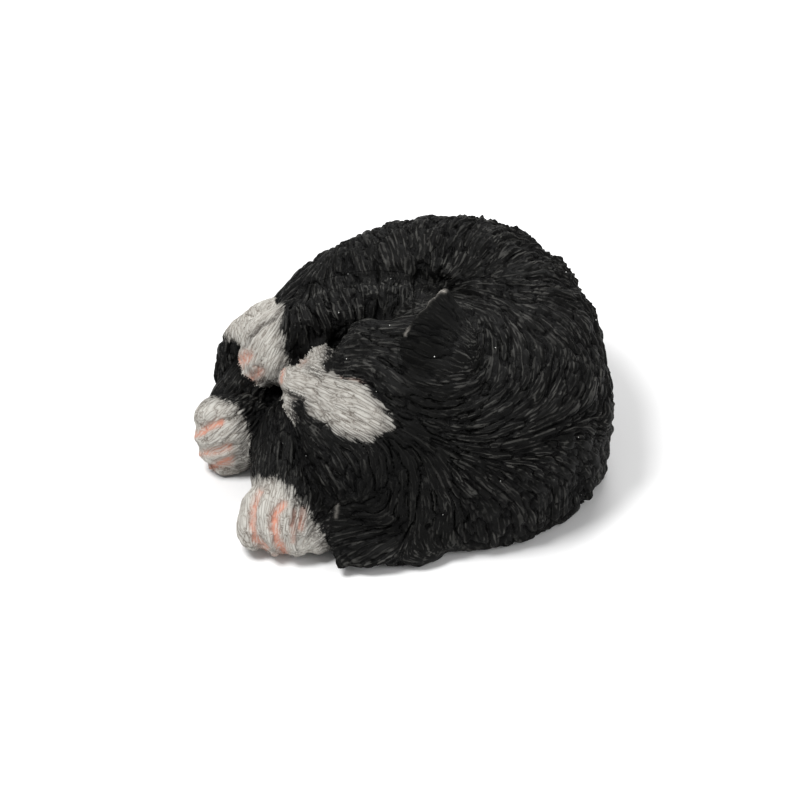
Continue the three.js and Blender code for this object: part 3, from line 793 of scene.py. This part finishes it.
solid = with_paint(mesh_of("sculpture", carved, quads), {**paint, "skin": np.ones(len(carved))})
solid = cut_by(solid, "DIFFERENCE", block(*BELOW_THE_FOOT))
told(f"cut flat at the foot, {len(solid.vertices)} points")
pieces, taken = {}, None
for node in ORDER:
    cutter = remeshed(swollen({node: GROW}), CUTTER_VOXEL)
    if taken is not None:
        own = cut_by(cutter.copy(), "DIFFERENCE", taken)
        taken = cut_by(taken, "UNION", cutter)
    else:
        own = taken = cutter
    pieces[node] = cut_by(solid, "INTERSECT", own)
    told(f"{node}: {len(pieces[node].vertices)} points")
rest = cut_by(solid, "DIFFERENCE", taken)
pieces["trunk_casting"] = cut_by(rest, "DIFFERENCE", swollen({"base_plate": PLATE_GAP}))
told(f"trunk_casting: {len(pieces['trunk_casting'].vertices)} points")

# %% [markdown]
# The real ornament was painted after it was glued, so the paint runs a little way into each joint. A cut
# makes new points that no paint has reached. Those along its rim take the mean paint of the skin beside
# them, because painting each casting by itself would show a seam.

# %% Values on the cut edges
SHARP_FROM = math.radians(62)
FULLY_SKIN = 0.999


def values_of(mesh, name, width=1):
    flat = np.empty(len(mesh.vertices) * width, np.float32)
    mesh.attributes[name].data.foreach_get("vector" if width > 1 else "value", flat)
    return flat.reshape(-1, width)


def mend_edges(mesh):
    """Points that a cut made take the paint of the skin beside them."""
    flat = np.empty(len(mesh.edges) * 2, np.int32)
    mesh.edges.foreach_get("vertices", flat)
    a, b = flat.reshape(-1, 2).T
    known = values_of(mesh, "skin")[:, 0] > FULLY_SKIN
    sure = known.astype(float)
    many = np.bincount(a, sure[b], len(known)) + np.bincount(b, sure[a], len(known))
    new = ~known & (many > 0)
    for name, painted in paint.items():
        value = values_of(mesh, name, 1 if painted.ndim == 1 else 3)
        for part in value.T:
            seen = sure * part
            total = np.bincount(a, seen[b], len(known)) + np.bincount(b, seen[a], len(known))
            part[new] = total[new] / many[new]
        key = "value" if painted.ndim == 1 else "vector"
        mesh.attributes[name].data.foreach_set(key, value.ravel())


for node, mesh in pieces.items():
    mend_edges(mesh)
    mesh.attributes.remove(mesh.attributes["skin"])
    mesh.polygons.foreach_set("use_smooth", np.ones(len(mesh.polygons), bool))
    mesh.set_sharp_from_angle(angle=SHARP_FROM)
told("edges mended")

# %% [markdown]
# A finish is a set of small steps: where the brush touched, where a wash and painted shade darken the
# valleys, which paint lies where. The steps that several finishes use are node groups, and short helpers
# place and link their nodes.

# %% Helpers for finishes
def node_of(tree, kind, **settings):
    node = tree.nodes.new(kind)
    for key, value in settings.items():
        setattr(node, key, value)
    return node


def fed(tree, socket, value):
    if isinstance(value, (int, float, tuple)):
        socket.default_value = value
    else:
        tree.links.new(value, socket)


def attribute(tree, name, output="Fac"):
    return node_of(tree, "ShaderNodeAttribute", attribute_name=name).outputs[output]


def graded(tree, value, low, high, to_low=0.0, to_high=1.0):
    node = node_of(tree, "ShaderNodeMapRange", interpolation_type="SMOOTHSTEP")
    given = {"Value": value, "From Min": low, "From Max": high, "To Min": to_low, "To Max": to_high}
    for key, number in given.items():
        fed(tree, node.inputs[key], number)
    return node.outputs["Result"]


def maths(tree, operation, a, b=0.0):
    node = node_of(tree, "ShaderNodeMath", operation=operation)
    fed(tree, node.inputs[0], a)
    fed(tree, node.inputs[1], b)
    return node.outputs[0]


def product(tree, a, *others):
    for b in others:
        a = maths(tree, "MULTIPLY", a, b)
    return a


def mixed(tree, factor, a, b):
    node = node_of(tree, "ShaderNodeMix", data_type="RGBA")
    for place, value in zip((0, 6, 7), (factor, a, b)):
        fed(tree, node.inputs[place], value)
    return node.outputs[2]


def place_of(tree):
    return node_of(tree, "ShaderNodeTexCoord").outputs["Object"]


def noise(tree, size, detail=3):
    node = node_of(tree, "ShaderNodeTexNoise")
    tree.links.new(place_of(tree), node.inputs["Vector"])
    fed(tree, node.inputs["Scale"], 1 / size)
    fed(tree, node.inputs["Detail"], detail)
    return node.outputs["Fac"]


def group_of(name, inputs, outputs):
    tree = bpy.data.node_groups.new(name, "ShaderNodeTree")
    for label, (kind, value) in inputs.items():
        tree.interface.new_socket(label, in_out="INPUT", socket_type=kind).default_value = value
    for label, kind in outputs.items():
        tree.interface.new_socket(label, in_out="OUTPUT", socket_type=kind)
    return tree, tree.nodes.new("NodeGroupInput").outputs, tree.nodes.new("NodeGroupOutput").inputs


def placed(tree, group, **values):
    node = node_of(tree, "ShaderNodeGroup", node_tree=group)
    for label, value in values.items():
        fed(tree, node.inputs[label.replace("_", " ")], value)
    return node.outputs


def finish_of(name, roughness, specular):
    material = bpy.data.materials.new(name)
    material.use_nodes = True
    shader = material.node_tree.nodes["Principled BSDF"]
    shader.inputs["Roughness"].default_value = roughness
    shader.inputs["Specular IOR Level"].default_value = specular
    return material, material.node_tree, shader.inputs


# %% [markdown]
# Single hairs are finer than the squares of the skin, so the finish carves them. At each point the same
# noise is read at several places along the flow of the hair and averaged, which draws the noise out into
# long lines: the same wind and sand as above, but at any fineness. Folding the average at its middle makes
# round ridges with sharp valleys, which suit the thick white paint. The average itself, drawn steeper,
# gives the strands of the black coat, which taper.

# %% Hairs along the flow
COLOUR, NUMBER = "NodeSocketColor", "NodeSocketFloat"
BEHIND, AHEAD = 6, 14  # readings against the flow and along it
FADE_BEHIND, FADE_AHEAD = 3, 8  # readings
READING_STEP = 0.8  # widths of a hair
FOLD_AT, FOLD_ROUND = 0.075, 0.6
tree, given, out = group_of(
    "hairs_along_flow", {"Width": (NUMBER, 0.95 * MM)}, {"Ridge": NUMBER, "Strand": NUMBER})


def vector_math(tree, operation, *values):
    node = node_of(tree, "ShaderNodeVectorMath", operation=operation)
    for socket, value in zip([s for s in node.inputs if s.enabled], values):
        fed(tree, socket, value)
    return node.outputs[0]


packed = attribute(tree, "flow", "Vector")
along = vector_math(tree, "MULTIPLY_ADD", packed, (2, 2, 2), (-1, -1, -1))
finely = maths(tree, "DIVIDE", 1.0, given["Width"])
spot = vector_math(tree, "SCALE", place_of(tree), finely)
weights = {k: math.exp(-k / FADE_AHEAD if k > 0 else k / FADE_BEHIND) for k in range(-BEHIND, AHEAD)}
average = 0.0
for k, weight in weights.items():
    reading = node_of(tree, "ShaderNodeTexNoise")
    reading.inputs["Scale"].default_value, reading.inputs["Detail"].default_value = 1, 0
    step = (READING_STEP * k, READING_STEP * k, READING_STEP * k)
    place = vector_math(tree, "MULTIPLY_ADD", along, step, spot)
    tree.links.new(place, reading.inputs["Vector"])
    share = product(tree, reading.outputs["Fac"], weight / sum(weights.values()))
    average = maths(tree, "ADD", share, average)
from_middle = maths(tree, "ABSOLUTE", maths(tree, "SUBTRACT", average, 0.5))
folded = maths(tree, "DIVIDE", from_middle, FOLD_AT)
rounded = maths(tree, "POWER", folded, FOLD_ROUND)
tree.links.new(maths(tree, "MINIMUM", rounded, 1.0), out["Ridge"])
tree.links.new(graded(tree, average, 0.48, 0.57), out["Strand"])
hair_group = tree

# %% [markdown]
# The black is painted darkest in the valleys of the carving, as painted shade. Then an almost dry brush with
# grey paint drags over it and catches only the ridges, most on the crests of the form; that grey is also a
# painted highlight on the ridges. The ears' rims get a painted highlight, the lightest grey. A few specks of
# white dust stick to the paint.

# %% Black with a dry brush, painted shade and highlights
PATCH, RIM_HIGHLIGHT_SPOT, DUST_APART = 8 * MM, 1.2 * MM, 9 * MM
tree, given, out = group_of(
    "black_dry_brush_shade_and_highlights",
    {"Hair": (NUMBER, 0.5), "Shaded_Valley": (COLOUR, (0.0008, 0.0008, 0.0008, 1)),
     "Ridge": (COLOUR, (0.0022, 0.0022, 0.002, 1)), "Brushed_And_Highlight": (COLOUR, (0.055, 0.054, 0.05, 1)),
     "Rim_Highlight": (COLOUR, (0.34, 0.32, 0.29, 1)), "Dust": (COLOUR, (0.6, 0.6, 0.58, 1))},
    {"Color": COLOUR})
ridge = attribute(tree, "ridge")
patchy = graded(tree, noise(tree, PATCH), 0.36, 0.66, 0.4, 1.0)
crests = graded(tree, attribute(tree, "crest"), 0.35, 0.75, 0.15, 2.2)
on_hairs = graded(tree, given["Hair"], 0.1, 1.0)
on_locks = graded(tree, ridge, 0.34, 0.6, 0.3, 1.0)
# grey put on the ridges and crests: dry brushing that is also a painted highlight
brushed_and_highlight = product(tree, on_hairs, on_locks, patchy, crests)
brushed_and_highlight = maths(tree, "MINIMUM", brushed_and_highlight, 1.0)
# painted shade: the black is darker in the valleys of the carving than on its ridges
plain = mixed(tree, graded(tree, ridge, 0.3, 0.55), given["Shaded_Valley"], given["Ridge"])
colour = mixed(tree, brushed_and_highlight, plain, given["Brushed_And_Highlight"])
spotty = graded(tree, noise(tree, RIM_HIGHLIGHT_SPOT), 0.2, 0.55, 0.3, 1.0)
# painted highlight along the ears' rims, broken up by noise
painted_rim_highlight = product(tree, attribute(tree, "light"), spotty)
colour = mixed(tree, painted_rim_highlight, colour, given["Rim_Highlight"])
specks = node_of(tree, "ShaderNodeTexVoronoi")
tree.links.new(place_of(tree), specks.inputs["Vector"])
specks.inputs["Scale"].default_value = 1 / DUST_APART
dust = graded(tree, specks.outputs["Distance"], 0.02, 0.03, 1.0, 0.0)
tree.links.new(mixed(tree, dust, colour, given["Dust"]), out["Color"])
black_group = tree

# %% [markdown]
# The off-white is thick paint over the black. Its valleys are darker, partly a thin grey-brown wash and
# partly painted shade, and the ridges are cleanest. Pink is rubbed between the toes. Painted shade is also
# put on as dark specks stippled over the white, and as black sprayed thinly over it, heavier in the valleys
# and mostly along the edge of a white patch, where it is also the airbrushing between the two paints.

# %% Off-white with wash, painted shade, pink and specks
STIPPLE = 0.8 * MM
tree, given, out = group_of(
    "white_with_wash_and_painted_shade",
    {"Hair": (NUMBER, 0.5), "Shaded_Valley": (COLOUR, (0.15, 0.13, 0.11, 1)),
     "White": (COLOUR, (0.37, 0.352, 0.32, 1)), "Clean": (COLOUR, (0.47, 0.456, 0.42, 1)),
     "Pink": (COLOUR, (0.60, 0.26, 0.18, 1)), "Speck": (COLOUR, (0.03, 0.028, 0.026, 1))},
    {"Color": COLOUR})
ridge = attribute(tree, "ridge")
hairs_part, locks_part = product(tree, given["Hair"], 0.65), product(tree, ridge, 0.35)
both = maths(tree, "ADD", hairs_part, locks_part)
# the darker valleys are partly a grey-brown wash and partly painted shade
washed_and_shaded = mixed(tree, graded(tree, both, 0.1, 0.5), given["Shaded_Valley"], given["White"])
washed_and_shaded = mixed(tree, graded(tree, both, 0.45, 0.85), washed_and_shaded, given["Clean"])
in_valleys = graded(tree, both, 0.25, 0.8, 1.0, 0.35)
rubbed = product(tree, attribute(tree, "pink"), in_valleys)
pinked = mixed(tree, rubbed, washed_and_shaded, given["Pink"])
uneven = noise(tree, STIPPLE)
stipple = maths(tree, "SUBTRACT", uneven, product(tree, both, 0.2))
# painted shade, stippled as dark specks, more of them in the valleys
specks = product(tree, attribute(tree, "grey"), graded(tree, stipple, 0.3, 0.46))
stippled = mixed(tree, specks, pinked, given["Speck"])
# painted shade: the thin black spray darkens the valleys more than the ridges
valley_shade_weight = graded(tree, both, 0.1, 0.9, 1.2, 0.6)
thin = product(tree, attribute(tree, "spray_and_shade"), valley_shade_weight)
colour = mixed(tree, maths(tree, "MINIMUM", thin, 1.0), stippled, given["Speck"])
tree.links.new(colour, out["Color"])
white_group = tree

# %% [markdown]
# One coat is all black. The other is black and white: white was sprayed over the black, so the edge between
# them is a soft gradient, and the ridges of the hair take more of the spray than the valleys. Both coats
# get their single hairs as a bump a quarter of a millimetre deep, and both shine most on the crests, where
# hands rub them. Hairs as geometry would be truer, but they would take many times the points.

# %% The two coats
HAIR_BUMP = 0.25 * MM
WHITE_HAIR_WIDTH = 1.1 * MM
DULL, RUBBED = 0.88, 0.56  # roughness off the crests and on them
ALL_BLACK = ["trunk_casting", "ear_right", "ear_left"]


def bumped(tree, shader_inputs, height, depth):
    bump = node_of(tree, "ShaderNodeBump")
    bump.inputs["Distance"].default_value = depth
    fed(tree, bump.inputs["Height"], height)
    tree.links.new(bump.outputs["Normal"], shader_inputs["Normal"])


def shine_of(tree):
    return graded(tree, attribute(tree, "crest"), 0.1, 0.55, DULL, RUBBED)


black_coat, tree, coat_inputs = finish_of("painted_black_coat", roughness=0.45, specular=0.08)
strands = placed(tree, hair_group)["Strand"]
tree.links.new(placed(tree, black_group, Hair=strands)["Color"], coat_inputs["Base Color"])
tree.links.new(shine_of(tree), coat_inputs["Roughness"])
bumped(tree, coat_inputs, strands, HAIR_BUMP)

two_coats, tree, coat_inputs = finish_of(
    "painted_black_and_white_coat", roughness=0.45, specular=0.09)
strands = placed(tree, hair_group)["Strand"]
ridges = placed(tree, hair_group, Width=WHITE_HAIR_WIDTH)["Ridge"]
taken_up = product(tree, maths(tree, "SUBTRACT", ridges, 0.5), 0.6)
cover = graded(tree, maths(tree, "ADD", attribute(tree, "white"), taken_up), 0.3, 0.75)
black, off_white = placed(tree, black_group, Hair=strands), placed(tree, white_group, Hair=ridges)
tree.links.new(mixed(tree, cover, black["Color"], off_white["Color"]), coat_inputs["Base Color"])
tree.links.new(graded(tree, cover, 0.0, 1.0, shine_of(tree), 0.64), coat_inputs["Roughness"])
bumped(tree, coat_inputs, mixed(tree, cover, strands, ridges), HAIR_BUMP)

for node, mesh in pieces.items():
    material, slot = (two_coats, "black_and_white_coat")
    if node in ALL_BLACK:
        material, slot = (black_coat, "black_coat")
    mesh.materials.clear()
    mesh.materials.append(material)
    piece = piece_of("painted_" + node, mesh)
    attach(piece, "root")
    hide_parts(node)
told(f"{len(pieces)} painted pieces")

# %% [markdown]
# The base plate and the felt pads keep the shapes of the frame. The plate is bare cast resin with a thin
# matt black coat, a little uneven, with the pits that small air bubbles leave. The pads are pressed felt:
# short fibres that lie in all directions, with a painted sheen where they stand up.

# %% Bare resin and felt
CLOUD, PIT, PIT_DEPTH = 6 * MM, 0.8 * MM, 0.1 * MM
FIBRE, TANGLE, FIBRE_DEPTH = 0.35 * MM, 1.5 * MM, 0.3 * MM
resin, tree, resin_inputs = finish_of("bare_black_resin", roughness=0.6, specular=0.3)
cloudy = noise(tree, CLOUD)
blacks = mixed(tree, cloudy, (0.012, 0.012, 0.011, 1), (0.03, 0.029, 0.027, 1))
tree.links.new(blacks, resin_inputs["Base Color"])
tree.links.new(graded(tree, cloudy, 0.3, 0.7, 0.5, 0.72), resin_inputs["Roughness"])
bumped(tree, resin_inputs, graded(tree, noise(tree, PIT), 0.25, 0.4), PIT_DEPTH)

felt, tree, felt_inputs = finish_of("pressed_black_felt", roughness=0.95, specular=0.1)
fibre = product(tree, noise(tree, FIBRE, 6), graded(tree, noise(tree, TANGLE), 0.3, 0.6, 0.7, 1.2))
# painted sheen: the fibres that stand up are paler
raised_fibre_sheen = graded(tree, fibre, 0.3, 0.7)
blacks = mixed(tree, raised_fibre_sheen, (0.008, 0.008, 0.0075, 1), (0.06, 0.058, 0.053, 1))
tree.links.new(blacks, felt_inputs["Base Color"])
bumped(tree, felt_inputs, fibre, FIBRE_DEPTH)
for node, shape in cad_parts.items():
    if node == "base_plate" or node.startswith("felt_pad"):
        shape.data.materials.clear()
        shape.data.materials.append(resin if node == "base_plate" else felt)

# %% [markdown]
# The photograph is cut out on white, so its room is a guess: a plain pale table top and large soft lamps.
# The strongest lamp hangs high on the left, so that the carved ridges shade their valleys. A weaker one
# opens the shadows from the right, and a third draws the outline of the back.

# %% Studio
FLOOR_REACH = 4.0  # metres
DAYLIGHT = 0.42
bpy.context.scene.view_settings.view_transform = "Standard"
floor_corners = np.array([[-1, -1, 0], [1, -1, 0], [1, 1, 0], [-1, 1, 0]]) * FLOOR_REACH
floor = piece_of("floor", mesh_of("floor", floor_corners, np.array([[0, 1, 2, 3]])))
floor_paint, _, floor_inputs = finish_of("floor", roughness=0.9, specular=0.5)
floor_inputs["Base Color"].default_value = (0.85, 0.85, 0.85, 1)
floor.data.materials.append(floor_paint)


def softbox(name, place, size, watts):
    lamp = bpy.data.lights.new(name, "AREA")
    lamp.shape, lamp.size, lamp.energy = "DISK", size, watts
    box = piece_of(name, lamp)
    box.location = place
    box.rotation_euler = (-Vector(place)).to_track_quat("-Z", "Y").to_euler()


softbox("key", (-0.5, -0.25, 1.15), size=0.5, watts=15)
softbox("fill", (0.9, -0.6, 0.7), size=0.8, watts=5)
softbox("back", (0.2, 0.9, 0.9), size=0.6, watts=8)
world = bpy.data.worlds.new("studio")
world.use_nodes = True
sky = world.node_tree.nodes["Background"].inputs
sky["Color"].default_value, sky["Strength"].default_value = (1, 1, 1, 1), DAYLIGHT
bpy.context.scene.world = world
told("lamps and floor placed")
